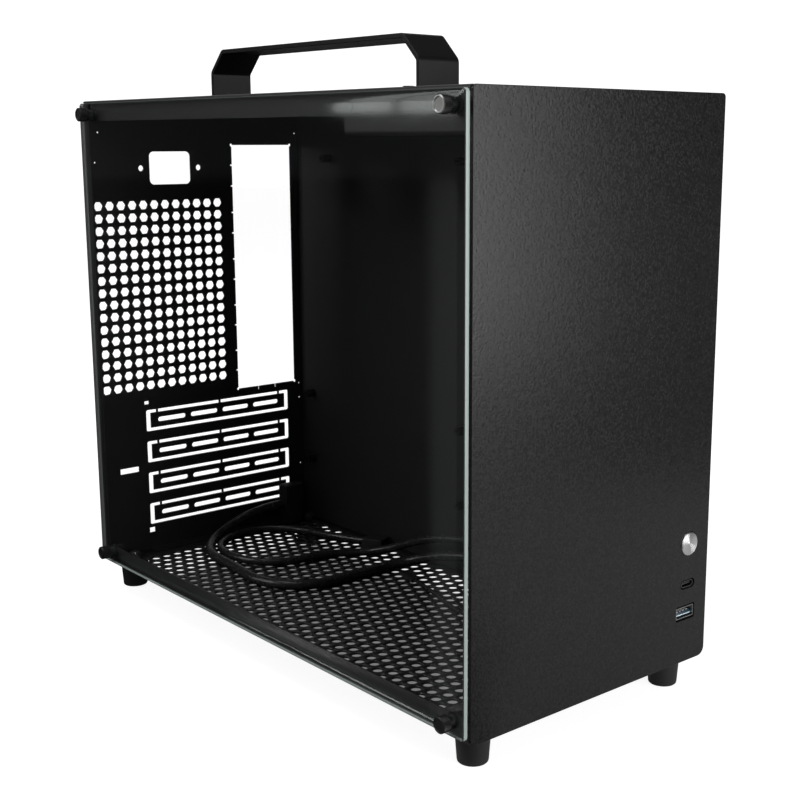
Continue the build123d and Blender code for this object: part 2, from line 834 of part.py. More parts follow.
# Handle: a folded strap with its feet turned inwards under the grip
with BuildPart() as handle:
    handle_middle = handle_thickness / 2
    low = top + handle_middle
    high = top + handle_rise - handle_middle
    half = handle_half - handle_middle
    extrude(
        fold(
            Plane.YZ.offset(handle_x - handle_width / 2),
            [
                (handle_y - handle_half + handle_foot_length, low),
                (handle_y - half, low),
                (handle_y - half, high - handle_shoulder),
                (handle_y - half + handle_shoulder, high),
                (handle_y + half - handle_shoulder, high),
                (handle_y + half, high - handle_shoulder),
                (handle_y + half, low),
                (handle_y + handle_half - handle_foot_length, low),
            ],
            thickness=handle_thickness,
            radius=handle_bend,
        ),
        amount=handle_width,
    )
    with Locations(*[(x, y, low) for x, y in handle_screw_places]):
        Cylinder(m4_radius + m4_clearance, 2 * handle_thickness, mode=Mode.SUBTRACT)
handle.part.label = "handle"
export_step(handle.part, "parts/handle.step")

# Button-head screws through the feet of the handle, with nuts under the top panel
with BuildPart() as handle_screws:
    screw_seat = top + handle_thickness
    with BuildSketch(Plane.XY.offset(screw_seat)):
        with Locations(*handle_screw_places):
            Circle(m4_head_radius)
    extrude(amount=m4_head_height)
    chamfer(handle_screws.edges().group_by(Axis.Z)[-1], m4_head_dome)
    with BuildSketch(Plane.XY.offset(screw_seat + m4_head_height)):
        with Locations(*handle_screw_places):
            RegularPolygon(radius=m4_socket / 2, side_count=6, major_radius=False)
    extrude(amount=-m4_socket_depth, mode=Mode.SUBTRACT)
    with BuildSketch(Plane.XY.offset(screw_seat)):
        with Locations(*handle_screw_places):
            Circle(m4_radius)
    extrude(amount=-(handle_thickness + sheet + m4_nut_height + m4_past_nut))
handle_screws.part.label = "handle_screws"
export_step(handle_screws.part, "parts/handle_screws.step")

with BuildPart() as handle_nuts:
    with BuildSketch(Plane.XY.offset(rear_high - m4_nut_height)):
        with Locations(*handle_screw_places):
            RegularPolygon(radius=m4_nut_width / 2, side_count=6, major_radius=False)
            Circle(m4_radius + m4_nut_gap, mode=Mode.SUBTRACT)
    extrude(amount=m4_nut_height)
handle_nuts.part.label = "handle_nuts"
export_step(handle_nuts.part, "parts/handle_nuts.step")


# Rubber feet: tapered, with the screw head deep in the recess underneath
for place, (foot_x, foot_y) in foot_places.items():
    with BuildPart() as foot:
        with BuildSketch(Plane.XZ):
            Polygon(
                (foot_recess_radius, 0),
                (foot_bottom_radius - foot_edge, 0),
                (foot_bottom_radius, foot_edge),
                (foot_top_radius, foot_height),
                (m4_radius + m4_clearance, foot_height),
                (m4_radius + m4_clearance, foot_recess_depth),
                (foot_recess_radius, foot_recess_depth),
                align=None,
            )
        revolve(axis=Axis.Z)
    foot.part.label = "foot_" + place
    export_step(Pos(foot_x, foot_y, 0) * foot.part, "parts/foot_" + place + ".step")

with BuildPart() as foot_screws:
    foot_grip = foot_height - foot_recess_depth + sheet + m4_nut_height + m4_past_nut
    foot_screw_places = foot_places.values()
    with Locations(*[(x, y, foot_recess_depth - m4_head_height / 2) for x, y in foot_screw_places]):
        Cylinder(m4_head_radius, m4_head_height)
    with Locations(*[(x, y, foot_recess_depth + foot_grip / 2) for x, y in foot_screw_places]):
        Cylinder(m4_radius, foot_grip)
foot_screws.part.label = "foot_screws"
export_step(foot_screws.part, "parts/foot_screws.step")

with BuildPart() as foot_nuts:
    with BuildSketch(Plane.XY.offset(floor_top)):
        with Locations(*foot_places.values()):
            RegularPolygon(radius=m4_nut_width / 2, side_count=6, major_radius=False, rotation=30)
            Circle(m4_radius + m4_nut_gap, mode=Mode.SUBTRACT)
    extrude(amount=m4_nut_height)
foot_nuts.part.label = "foot_nuts"
export_step(foot_nuts.part, "parts/foot_nuts.step")


# Glass side panel with a hole near each corner
glass_front = front + glass_front_inset
glass_rear = rear - glass_rear_inset
glass_low = bottom + glass_bottom_inset
glass_high = top - glass_top_inset
with BuildPart() as glass_panel:
    with BuildSketch(Plane.YZ.offset(glass_outer)):
        with Locations(((glass_front + glass_rear) / 2, (glass_low + glass_high) / 2)):
            RectangleRounded(glass_rear - glass_front, glass_high - glass_low, glass_corner_radius)
        with Locations(*thumb_places.values()):
            Circle(glass_hole_radius, mode=Mode.SUBTRACT)
    extrude(amount=glass_thickness)
    rims = glass_panel.faces().filter_by(Axis.X).sort_by(Axis.X)
    chamfer([face.outer_wire().edges() for face in (rims[0], rims[-1])], glass_chamfer)
glass_panel.part.label = "glass_panel"
export_step(glass_panel.part, "parts/glass_panel.step")

# Rubber rings between the glass and the lips of the body
with BuildPart() as glass_spacers:
    with BuildSketch(Plane.YZ.offset(glass_inner)):
        with Locations(*thumb_places.values()):
            Circle(spacer_radius)
            Circle(glass_hole_radius, mode=Mode.SUBTRACT)
    extrude(amount=glass_gap)
glass_spacers.part.label = "glass_spacers"
export_step(glass_spacers.part, "parts/glass_spacers.step")

# Threaded nuts pressed into the lips
with BuildPart() as glass_nuts:
    with BuildSketch(Plane.YZ.offset(left + sheet)):
        with Locations(*thumb_places.values()):
            Circle(glass_nut_radius)
            Circle(thumb_bore_radius, mode=Mode.SUBTRACT)
    extrude(amount=glass_nut_length)
glass_nuts.part.label = "glass_nuts"
export_step(glass_nuts.part, "parts/glass_nuts.step")

# Thumbscrews: fluted head and plain shank; each turns in its own washer
head_inner = glass_outer - washer_thickness
head_outer = head_inner - thumb_head_length
shank_end = left + sheet + glass_nut_length + thumb_past_nut
for place, (screw_y, screw_z) in thumb_places.items():
    with BuildPart() as thumbscrew:
        with BuildSketch(Plane.YZ.offset(head_outer)):
            Circle(thumb_head_radius)
            with PolarLocations(thumb_head_radius, thumb_grooves):
                Rectangle(thumb_groove_depth, thumb_groove_depth, rotation=45, mode=Mode.SUBTRACT)
        extrude(amount=thumb_head_length)
        with BuildSketch(Plane.YZ.offset(head_inner)):
            Circle(thumb_shank_radius)
        extrude(amount=shank_end - head_inner)
    thumbscrew.part.label = "thumbscrew_" + place
    export_step(Pos(0, screw_y, screw_z) * thumbscrew.part, "parts/thumbscrew_" + place + ".step")

    with BuildPart() as washer:
        with BuildSketch(Plane.YZ.offset(head_inner)):
            Circle(washer_radius)
            Circle(thumb_bore_radius, mode=Mode.SUBTRACT)
        extrude(amount=washer_thickness)
    washer.part.label = "washer_" + place
    export_step(Pos(0, screw_y, screw_z) * washer.part, "parts/washer_" + place + ".step")


# Moulded boots on the back of the board, where the cables leave
boots = {
    "usb_a_boot": (port_x, usb_a_height, usb_a_boot_size),
    "usb_c_boot": (control_x, usb_c_height, usb_c_boot_size),
    "switch_boot": (control_x, button_height, switch_boot_size),
}
for name, (boot_x, boot_z, (boot_width, boot_height)) in boots.items():
    with BuildPart() as boot:
        block(
            (boot_x - boot_width / 2, boot_x + boot_width / 2),
            (board_back, board_back + boot_length),
            (boot_z - boot_height / 2, boot_z + boot_height / 2),
        )
    boot.part.label = name
    export_step(boot.part, "parts/" + name + ".step")


def cord(points, diameter):
    """Round cord along straight runs joined by arcs; prints its radii and a check of its volume."""
    radii = []
    for before, corner, after in zip(points, points[1:], points[2:]):
        run_in = Vector(*corner) - Vector(*before)
        run_out = Vector(*after) - Vector(*corner)
        half_turn = radians(run_in.get_angle(run_out)) / 2
        radii.append(0.45 * min(run_in.length, run_out.length) / tan(half_turn))
    with BuildPart() as tube:
        with BuildLine() as path:
            FilletPolyline(*points, radius=radii)
        with BuildSketch(Plane(origin=path.line @ 0, z_dir=path.line % 0)):
            Circle(diameter / 2)
        sweep()
    expected = pi * (diameter / 2) ** 2 * path.wires()[0].length
    print("cord radii", [round(r) for r in radii], "volume ratio", round(tube.part.volume / expected, 4))
    return tube.part


def plug(end, before, size):
    """Block that carries on where a cord ends, square to its last run."""
    run = Vector(*end) - Vector(*before)
    with BuildPart() as body:
        with BuildSketch(Plane(origin=end, z_dir=run, x_dir=(-run.Y, run.X, 0))):
            Rectangle(size[0], size[1])
        extrude(amount=size[2])
    return body.part


# Cables: down from the board, looped on the perforated floor
boot_back = board_back + boot_length
usb_c_rest = floor_top + usb_c_cable_diameter / 2 + cable_rest
usb_a_rest = floor_top + usb_a_cable_diameter / 2 + cable_rest
usb_c_plug_rest = floor_top + usb_c_plug_size[1] / 2 + cable_rest
usb_a_plug_rest = floor_top + sheet + usb_a_plug_size[1] / 2 + cable_rest
lead_rest = floor_top + switch_lead_diameter / 2 + cable_rest
usb_c_route = [
    (control_x, boot_back, usb_c_height),
    (control_x, -106, usb_c_height),
    (64, -46, 47),
    (62, 14, 41),
    (56, 62, usb_c_rest),
    (32, 81, usb_c_rest),
    (-4, 83, usb_c_rest),
    (-21, 110, usb_c_rest),
    (-14, 145, usb_c_rest),
    (21, 158, usb_c_rest),
    (46, 137, usb_c_rest),
    (52, 105, usb_c_plug_rest),
    (62, 84, usb_c_plug_rest),
]
usb_a_route = [
    (port_x, boot_back, usb_a_height),
    (port_x, -106, usb_a_height),
    (62, -46, 39),
    (59, 0, 33),
    (54, 36, usb_a_rest),
    (17, 35, usb_a_rest),
    (-16, 37, usb_a_rest),
    (-34, 60, usb_a_rest),
    (-29, 98, usb_a_rest),
    (-28, 132, usb_a_rest),
    (-4, 158, 22),
    (29, 161, usb_a_plug_rest),
    (50, 161, usb_a_plug_rest),
]
switch_route = [
    (control_x, boot_back, button_height),
    (control_x, -123, button_height),
    (58, -97, 61),
    (44, -78, 33),
    (24, -62, lead_rest),
    (28, -36, lead_rest),
    (37, -10, lead_rest),
    (41, 8, lead_rest),
]
cords = {
    "usb_c_cable": (usb_c_route, usb_c_cable_diameter),
    "usb_a_cable": (usb_a_route, usb_a_cable_diameter),
    "switch_lead": (switch_route, switch_lead_diameter),
}
for name, (route, diameter) in cords.items():
    tube = cord(route, diameter)
    tube.label = name
    export_step(tube, "parts/" + name + ".step")

plugs = {
    "usb_c_plug": (usb_c_route, usb_c_plug_size),
    "usb_a_plug": (usb_a_route, usb_a_plug_size),
    "switch_plug": (switch_route, switch_plug_size),
}
for name, (route, size) in plugs.items():
    body = plug(route[-1], route[-2], size)
    body.label = name
    export_step(body, "parts/" + name + ".step")
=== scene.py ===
"""Looks of the portable computer case: finishes, edges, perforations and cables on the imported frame."""

from math import atan2, cos, pi, radians, sin

import bmesh
import bpy
from mathutils import Matrix, Vector


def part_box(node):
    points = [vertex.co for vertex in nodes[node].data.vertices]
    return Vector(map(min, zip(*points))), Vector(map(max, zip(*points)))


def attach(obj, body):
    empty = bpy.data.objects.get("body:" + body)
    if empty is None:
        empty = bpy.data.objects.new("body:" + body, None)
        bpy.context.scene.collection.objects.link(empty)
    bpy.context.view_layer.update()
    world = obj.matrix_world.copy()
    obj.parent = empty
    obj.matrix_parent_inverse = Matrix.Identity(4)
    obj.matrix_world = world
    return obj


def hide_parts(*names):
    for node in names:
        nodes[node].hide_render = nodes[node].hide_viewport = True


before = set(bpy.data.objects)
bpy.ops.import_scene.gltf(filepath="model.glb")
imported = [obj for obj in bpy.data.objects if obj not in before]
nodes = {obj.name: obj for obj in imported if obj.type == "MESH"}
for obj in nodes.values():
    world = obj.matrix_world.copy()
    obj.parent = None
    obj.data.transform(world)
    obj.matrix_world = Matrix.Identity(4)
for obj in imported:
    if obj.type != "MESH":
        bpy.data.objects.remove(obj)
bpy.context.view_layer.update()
scene = bpy.context.scene
scene.view_settings.view_transform = "Standard"


# Camera: stands off the glass side's front corner, a little above the top panel,
# with a lens long enough to keep the uprights nearly parallel.
mm = 0.001
camera_data = bpy.data.cameras.new("photo_camera")
camera_data.lens = 58.548
camera_data.sensor_width = 36
camera_data.shift_x = -0.06178
camera_data.shift_y = -0.00601
camera_data.clip_start = 0.01
camera = bpy.data.objects.new("photo_camera", camera_data)
camera.location = (-430.82 * mm, -561.16 * mm, 276.35 * mm)
camera.rotation_euler = (radians(78.870), radians(-0.068), radians(-41.188))
scene.collection.objects.link(camera)
scene.camera = camera


# Cables: three round leads with a smooth black jacket, soldered behind the front panel's
# sockets and laid in loose curves on the floor panel, each ending in a box plug.
def surface(name, dark, light, roughness, grain, depth, metallic=0.0, spread=0.06, specular=0.5):
    """Material whose colour, gloss and relief vary with one fine grain, both lengths in metres."""
    material = bpy.data.materials.new(name)
    material.use_nodes = True
    tree = material.node_tree
    shader = tree.nodes["Principled BSDF"]
    shader.inputs["Metallic"].default_value = metallic
    shader.inputs["Specular IOR Level"].default_value = specular
    place = tree.nodes.new("ShaderNodeTexCoord")
    noise = tree.nodes.new("ShaderNodeTexNoise")
    noise.inputs["Scale"].default_value = 1 / grain
    noise.inputs["Detail"].default_value = 3
    noise.inputs["Roughness"].default_value = 0.6
    tree.links.new(place.outputs["Object"], noise.inputs["Vector"])
    colour = tree.nodes.new("ShaderNodeMix")
    colour.data_type = "RGBA"
    colour.inputs["A"].default_value = (*dark, 1)
    colour.inputs["B"].default_value = (*light, 1)
    tree.links.new(noise.outputs["Fac"], colour.inputs["Factor"])
    tree.links.new(colour.outputs["Result"], shader.inputs["Base Color"])
    gloss = tree.nodes.new("ShaderNodeMapRange")
    gloss.inputs["To Min"].default_value = roughness - spread
    gloss.inputs["To Max"].default_value = roughness + spread
    tree.links.new(noise.outputs["Fac"], gloss.inputs["Value"])
    tree.links.new(gloss.outputs["Result"], shader.inputs["Roughness"])
    bump = tree.nodes.new("ShaderNodeBump")
    bump.inputs["Strength"].default_value = 1
    bump.inputs["Distance"].default_value = depth
    tree.links.new(noise.outputs["Fac"], bump.inputs["Height"])
    tree.links.new(bump.outputs["Normal"], shader.inputs["Normal"])
    return material


def finished(name, shape, materials, body="case", replaces=(), sharp=35):
    """Object from a finished bmesh, riding on its body; its faces pick from the materials."""
    data = bpy.data.meshes.new(name)
    shape.to_mesh(data)
    shape.free()
    data.shade_smooth()
    data.set_sharp_from_angle(angle=radians(sharp))
    for material in materials:
        data.materials.append(material)
    piece = bpy.data.objects.new(name, data)
    scene.collection.objects.link(piece)
    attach(piece, body)
    if replaces:
        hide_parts(*replaces)
    return piece


def box_plug(name, node, route, size, wall, recess, rounding):
    """Female box connector on the end of a cord: a rounded block with an open socket."""
    run = (Vector(route[-1]) - Vector(route[-2])).normalized()
    across = Vector((-run.y, run.x, 0)).normalized()
    shape = bmesh.new()
    bmesh.ops.create_cube(shape, size=1)
    bmesh.ops.scale(shape, vec=[v * mm for v in size], verts=shape.verts)
    bmesh.ops.bevel(
        shape,
        geom=shape.edges[:],
        offset=rounding * mm,
        offset_type="OFFSET",
        segments=3,
        profile=0.5,
        affect="EDGES",
        material=-1,
    )
    mouth = max(shape.faces, key=lambda face: face.calc_center_median().z * face.calc_area())
    bmesh.ops.inset_region(shape, faces=[mouth], thickness=wall * mm)
    inner = bmesh.ops.extrude_discrete_faces(shape, faces=[mouth])["faces"]
    bmesh.ops.translate(shape, vec=(0, 0, -recess * mm), verts=inner[0].verts)
    bmesh.ops.translate(shape, vec=(0, 0, size[2] / 2 * mm), verts=shape.verts)
    turn = Matrix((across, run.cross(across), run)).transposed().to_4x4()
    turn.translation = Vector(route[-1]) * mm
    bmesh.ops.transform(shape, matrix=turn, verts=shape.verts)
    return finished(name, shape, [plug_plastic], replaces=[node])


jacket = surface("cable_jacket", (0.016, 0.016, 0.017), (0.026, 0.026, 0.027), 0.26, 3 * mm, 0.05 * mm)
plug_plastic = surface(
    "plug_plastic", (0.012, 0.012, 0.012), (0.022, 0.022, 0.022), 0.5, 0.4 * mm, 0.02 * mm
)

# Middles of the button and the sockets, and the points that the cables pass, all in mm
control_x = 69.95
port_x = 68.85
button_z = 78.3
usb_c_z = 57.2
usb_a_z = 42.4
boot_back = -146.4
usb_c_route = [
    (control_x, boot_back, usb_c_z),
    (control_x, -106, usb_c_z),
    (64, -46, 47),
    (62, 14, 41),
    (56, 62, 19.8),
    (32, 81, 19.8),
    (-4, 83, 19.8),
    (-21, 110, 19.8),
    (-14, 145, 19.8),
    (21, 158, 19.8),
    (46, 137, 19.8),
    (52, 105, 20.6),
    (62, 84, 20.6),
]
usb_a_route = [
    (port_x, boot_back, usb_a_z),
    (port_x, -106, usb_a_z),
    (62, -46, 39),
    (59, 0, 33),
    (54, 36, 20.3),
    (17, 35, 20.3),
    (-16, 37, 20.3),
    (-34, 60, 20.3),
    (-29, 98, 20.3),
    (-28, 132, 20.3),
    (-4, 158, 22),
    (29, 161, 31.3),
    (50, 161, 31.3),
]
switch_route = [
    (control_x, boot_back, button_z),
    (control_x, -123, button_z),
    (58, -97, 61),
    (44, -78, 33),
    (24, -62, 18.5),
    (28, -36, 18.5),
    (37, -10, 18.5),
    (41, 8, 18.5),
]
for name, route, diameter, length, end, size, wall in (
    ("usb_c_cable", usb_c_route, 5.0, 461, "usb_c_plug", (11.0, 6.6, 14.0), 1.0),
    ("usb_a_cable", usb_a_route, 6.0, 437, "usb_a_plug", (9.0, 26.0, 14.0), 1.2),
    ("switch_lead", switch_route, 2.4, 191, "switch_plug", (5.2, 2.6, 13.0), 0.5),
):
    line = bpy.data.curves.new(name + "_jacket", "CURVE")
    line.dimensions = "3D"
    line.bevel_depth = diameter / 2 * mm
    line.bevel_resolution = 6
    line.resolution_u = 10
    line.use_fill_caps = True
    spline = line.splines.new("NURBS")
    spline.points.add(len(route) - 1)
    for point, (x, y, z) in zip(spline.points, route):
        point.co = (x * mm, y * mm, z * mm, 1)
    spline.order_u = 3
    spline.use_endpoint_u = True
    line.materials.append(jacket)
    cable = bpy.data.objects.new(name + "_jacket", line)
    scene.collection.objects.link(cable)
    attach(cable, "case")
    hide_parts(name)
    connector = box_plug(end + "_body", end, route, size, wall, recess=size[2] / 2, rounding=wall / 3)


# Floor panel: one folded steel sheet, powder coated satin black, punched with staggered round
# holes, its two sides folded up into lips and its front edge into a flange.
satin_black = surface(
    "satin_black_coat",
    (0.013, 0.013, 0.0135),
    (0.026, 0.026, 0.027),
    0.4,
    0.9 * mm,
    0.008 * mm,
    spread=0.05,
)

left = -76.85
right = 85.15
front = -171.0
rear = 171.0
bottom = 16.0
sheet = 1.0
front_thickness = 2.0
side_inner = right - sheet
front_back = front + front_thickness

pitch_x = 7.5
pitch_y = 7.45
hole_radius = 2.75
first_x = left + 17.0
first_y = front + 39.6
row_count = 39
column_count = 18
floor_mid = bottom + sheet / 2

# One cell of sheet with its hole; the rim has the same 24 corners as the hole, spaced so
# that cells of neighbouring rows, half a pitch apart, meet corner to corner.
cell = bmesh.new()
bmesh.ops.create_grid(cell, x_segments=8, y_segments=4, size=0.5)
bmesh.ops.scale(cell, vec=(pitch_x * mm, pitch_y * mm, 1), verts=cell.verts)
bmesh.ops.delete(cell, geom=[v for v in cell.verts if not v.is_boundary], context="VERTS")
bmesh.ops.create_circle(cell, segments=24, radius=hole_radius * mm)
bmesh.ops.bridge_loops(cell, edges=cell.edges[:])
bmesh.ops.translate(cell, vec=(first_x * mm, first_y * mm, floor_mid * mm), verts=cell.verts)
cell_data = bpy.data.meshes.new("floor_cell")
cell.to_mesh(cell_data)
cell.free()

floor = bmesh.new()
for row in range(row_count):
    for column in range(column_count - row % 2):
        before = len(floor.verts)
        floor.from_mesh(cell_data)
        floor.verts.ensure_lookup_table()
        shift = ((column + row % 2 / 2) * pitch_x * mm, row * pitch_y * mm, 0)
        bmesh.ops.translate(floor, vec=shift, verts=floor.verts[before:])


def plate(shape, x, y, columns, rows):
    """Plain piece of the floor between two limits each way."""
    spot = bmesh.ops.create_grid(shape, x_segments=columns, y_segments=rows, size=0.5)["verts"]
    bmesh.ops.scale(shape, vec=((x[1] - x[0]) * mm, (y[1] - y[0]) * mm, 1), verts=spot)
    middle = ((x[0] + x[1]) / 2 * mm, (y[0] + y[1]) / 2 * mm, floor_mid * mm)
    bmesh.ops.translate(shape, vec=middle, verts=spot)


holes_left = first_x - pitch_x / 2
holes_right = holes_left + column_count * pitch_x
holes_front = first_y - pitch_y / 2
holes_rear = holes_front + row_count * pitch_y
bend = 1.5
for row in range(1, row_count, 2):
    row_span = (holes_front + row * pitch_y, holes_front + (row + 1) * pitch_y)
    plate(floor, (holes_left, holes_left + pitch_x / 2), row_span, 4, 4)
    plate(floor, (holes_right - pitch_x / 2, holes_right), row_span, 4, 4)
plate(floor, (left + bend, holes_left), (front_back + bend, rear), 1, 1)
plate(floor, (holes_right, side_inner - bend), (front_back + bend, rear), 1, 1)
plate(floor, (holes_left, holes_right), (front_back + bend, holes_front), 1, 1)
plate(floor, (holes_left, holes_right), (holes_rear, rear), 1, 1)
bmesh.ops.remove_doubles(floor, verts=floor.verts, dist=0.01 * mm)


def fold_up(shape, start, end, outwards, height, steps=4):
    """Quarter bend and lip raised along an edge of the floor, from start to end."""
    run = [shape.verts.new([v * mm for v in place]) for place in (start, end)]
    edge = shape.edges.new(run)
    pivot = Vector(start) * mm + Vector((0, 0, (bend - sheet / 2) * mm))
    axis = Vector(outwards).cross(Vector((0, 0, 1)))
    swept = bmesh.ops.spin(
        shape, geom=[edge, *run], cent=pivot, axis=axis, angle=pi / 2, steps=steps, use_merge=False
    )["geom_last"]
    lip = [v for v in swept if isinstance(v, bmesh.types.BMVert)]
    rim = [e for e in swept if isinstance(e, bmesh.types.BMEdge)]
    raised = bmesh.ops.extrude_edge_only(shape, edges=rim)
    tall = [v for v in raised["geom"] if isinstance(v, bmesh.types.BMVert)]
    bmesh.ops.translate(shape, vec=(0, 0, (bottom + height) * mm - lip[0].co.z), verts=tall)


lip_height = 12.0
flange_height = 10.0
return_depth = 9.5
lips = bmesh.new()
lip_rear = rear - return_depth
for lip_x, outwards in ((left + bend, (-1, 0, 0)), (side_inner - bend, (1, 0, 0))):
    fold_up(lips, (lip_x, front_back, floor_mid), (lip_x, lip_rear, floor_mid), outwards, lip_height)
fold_up(
    lips,
    (left + flange_height, front_back + bend, floor_mid),
    (side_inner - flange_height, front_back + bend, floor_mid),
    (0, -1, 0),
    flange_height,
)
lips_data = bpy.data.meshes.new("floor_lips")
lips.to_mesh(lips_data)
lips.free()
floor.from_mesh(lips_data)
bmesh.ops.remove_doubles(floor, verts=floor.verts, dist=0.01 * mm)
floor_piece = finished("floor_sheet", floor, [satin_black], replaces=["floor_panel"])
thickness = floor_piece.modifiers.new("sheet", "SOLIDIFY")
thickness.thickness = sheet * mm
thickness.offset = 0


# Rear panel: folded steel, laser-cut with the vent, the mains inlet, the mainboard's
# connector opening and four knock-out blanks; the rims of the vent's holes are drawn out
# to circles, though thin faces beside them fold over on the panel's inner side.
vent_hole_radius = 3.0
vent_pitch = 7.5
vent_columns = 12
vent_rows = 16
vent_left = left + 47.3 - (vent_columns - 1) / 2 * vent_pitch
vent_bottom = bottom + 164.2 - (vent_rows - 1) / 2 * vent_pitch
rim_nearest = 2.2
rim_farthest = 3.3
narrow_return = 6.5
rear_sheet = bmesh.new()
rear_sheet.from_mesh(nodes["rear_panel"].data)
bmesh.ops.remove_doubles(rear_sheet, verts=rear_sheet.verts, dist=0.001 * mm)


def keep_flat(piece):
    """Keeps the flat faces of a piece evenly shaded next to their rounded edges."""
    piece.modifiers.new("keep_flat", "WEIGHTED_NORMAL").keep_sharp = True


def vent_hole(v):
    """Centre of the vent hole whose rim a corner is on, or None."""
    column = round((v.co.x / mm - vent_left) / vent_pitch)
    row = round((v.co.z / mm - vent_bottom) / vent_pitch)
    if not (0 <= column < vent_columns and 0 <= row < vent_rows):
        return None
    centre = Vector(((vent_left + column * vent_pitch) * mm, 0, (vent_bottom + row * vent_pitch) * mm))
    reach = (Vector((v.co.x, 0, v.co.z)) - centre).length
    return centre if rim_nearest * mm < reach < rim_farthest * mm else None


rims = []
for edge in rear_sheet.edges:
    first, second = edge.verts
    centre = vent_hole(first)
    if centre is not None and centre == vent_hole(second) and abs(first.co.y - second.co.y) < 0.1 * mm:
        rims.append(edge)
bmesh.ops.subdivide_edges(rear_sheet, edges=rims, cuts=3)
for v in rear_sheet.verts:
    centre = vent_hole(v)
    if centre is not None:
        out = Vector((v.co.x, 0, v.co.z)) - centre
        rim_place = centre + out.normalized() * vent_hole_radius * mm
        v.co.x, v.co.z = rim_place.x, rim_place.z
# The return along the glass side is narrower than the others
for v in rear_sheet.verts:
    if v.co.x < (left + 3) * mm and v.co.y < (rear - narrow_return) * mm:
        v.co.y = (rear - narrow_return) * mm
keep_flat(finished("rear_sheet", rear_sheet, [satin_black], replaces=["rear_panel"]))


# The other sheets of the body: top panel, closed side, mainboard tray and power supply
# bracket, all folded from the same steel with the same satin coat.
def dress(node, material):
    """Gives a CAD node its finish."""
    nodes[node].data.materials.clear()
    nodes[node].data.materials.append(material)


for node in ("top_panel", "side_panel", "mainboard_tray", "supply_bracket"):
    dress(node, satin_black)


# Screws, rivets, nuts and standoffs: turned or headed steel, black coated where they show
# and zinc plated behind the sheets; the edges of the side screws' heads are rounded over.
def rounded_copy(node, width, steep=60, segments=3, wanted=lambda edge: True):
    """Copy of a CAD solid with its sharp edges, or the wanted ones of them, rounded over."""
    shape = bmesh.new()
    shape.from_mesh(nodes[node].data)
    bmesh.ops.remove_doubles(shape, verts=shape.verts, dist=0.001 * mm)
    bmesh.ops.dissolve_limit(
        shape, angle_limit=radians(1), verts=shape.verts, edges=shape.edges, use_dissolve_boundaries=False
    )
    bmesh.ops.bevel(
        shape,
        geom=[edge for edge in shape.edges if edge.calc_face_angle(0) > radians(steep) and wanted(edge)],
        offset=width * mm,
        offset_type="OFFSET",
        segments=segments,
        profile=0.5,
        affect="EDGES",
        material=-1,
    )
    return shape


black_zinc = surface(
    "black_zinc",
    (0.02, 0.02, 0.02),
    (0.05, 0.049, 0.048),
    0.42,
    0.35 * mm,
    0.01 * mm,
    metallic=0.7,
    spread=0.12,
)
zinc = surface(
    "zinc_plate", (0.42, 0.42, 0.43), (0.58, 0.58, 0.6), 0.34, 0.8 * mm, 0.01 * mm, metallic=1.0
)
side_heads = rounded_copy("side_screws", 0.5)
finished("side_screw_heads", side_heads, [black_zinc], replaces=["side_screws"])
for node in ("front_screws", "bracket_rivets", "handle_screws", "standoffs", "glass_nuts"):
    dress(node, black_zinc)
for node in ("handle_nuts", "foot_nuts", "foot_screws", "io_screws", "io_posts"):
    dress(node, zinc)


# Front panel: a flat steel plate with a coarse textured powder coat, its outline slightly
# rounded over, with cut-outs for the button and the two sockets.
textured_black = surface(
    "textured_black_coat",
    (0.0, 0.0, 0.0005),
    (0.024, 0.024, 0.025),
    0.18,
    1.1 * mm,
    0.11 * mm,
    spread=0.15,
    specular=0.3,
)


def on_outline(edge):
    """Whether an edge ends by the plate's left or right side, as its outline does and no cut-out."""
    return min(abs(v.co.x / mm - x) for v in edge.verts for x in (left, right)) < 5


front_plate = rounded_copy("front_panel", 0.35, wanted=on_outline)
keep_flat(finished("front_plate", front_plate, [textured_black], replaces=["front_panel"]))


# Handle: one steel strap bent to a grip with sloped shoulders, its feet turned inwards
# under the grip and screwed to the top panel, in the same coat with a finer grain.
strap_black = surface(
    "strap_black_coat",
    (0.002, 0.002, 0.0025),
    (0.008, 0.008, 0.0085),
    0.4,
    0.7 * mm,
    0.03 * mm,
    specular=0.25,
)
strap = rounded_copy("handle", 0.3)
keep_flat(finished("handle_strap", strap, [strap_black], replaces=["handle"]))


# Rubber feet: moulded cones with a rolled lower edge, each with a deep recess for its screw.
rubber = surface(
    "black_rubber", (0.010, 0.010, 0.010), (0.022, 0.022, 0.022), 0.5, 0.6 * mm, 0.02 * mm, specular=0.4
)
# (radius, height) of the foot's outline in mm, from the rim of its recess round to the recess
foot_outline = [
    (4.5, 0.25),
    (4.75, 0),
    (6.3, 0),
    (6.85, 0.15),
    (7.2, 0.5),
    (7.35, 1.1),
    (8.35, 14.6),
    (8.5, 15.4),
    (8.5, 16.0),
    (2.2, 16.0),
    (2.2, 11.0),
    (4.5, 11.0),
]


def turned(outline, axis, steps):
    """Solid of revolution about one of the origin's axes, from (radius, distance along it) in mm."""
    shape = bmesh.new()
    along = Vector(axis)
    out = Vector((0, 0, 1)) if along.z == 0 else Vector((1, 0, 0))
    line = [shape.verts.new((out * radius + along * height) * mm) for radius, height in outline]
    rim = [shape.edges.new(pair) for pair in zip(line, line[1:] + line[:1])]
    bmesh.ops.spin(
        shape, geom=[*line, *rim], cent=(0, 0, 0), axis=axis, angle=2 * pi, steps=steps, use_merge=True
    )
    bmesh.ops.remove_doubles(shape, verts=shape.verts, dist=0.001 * mm)
    bmesh.ops.recalc_face_normals(shape, faces=shape.faces)
    return shape


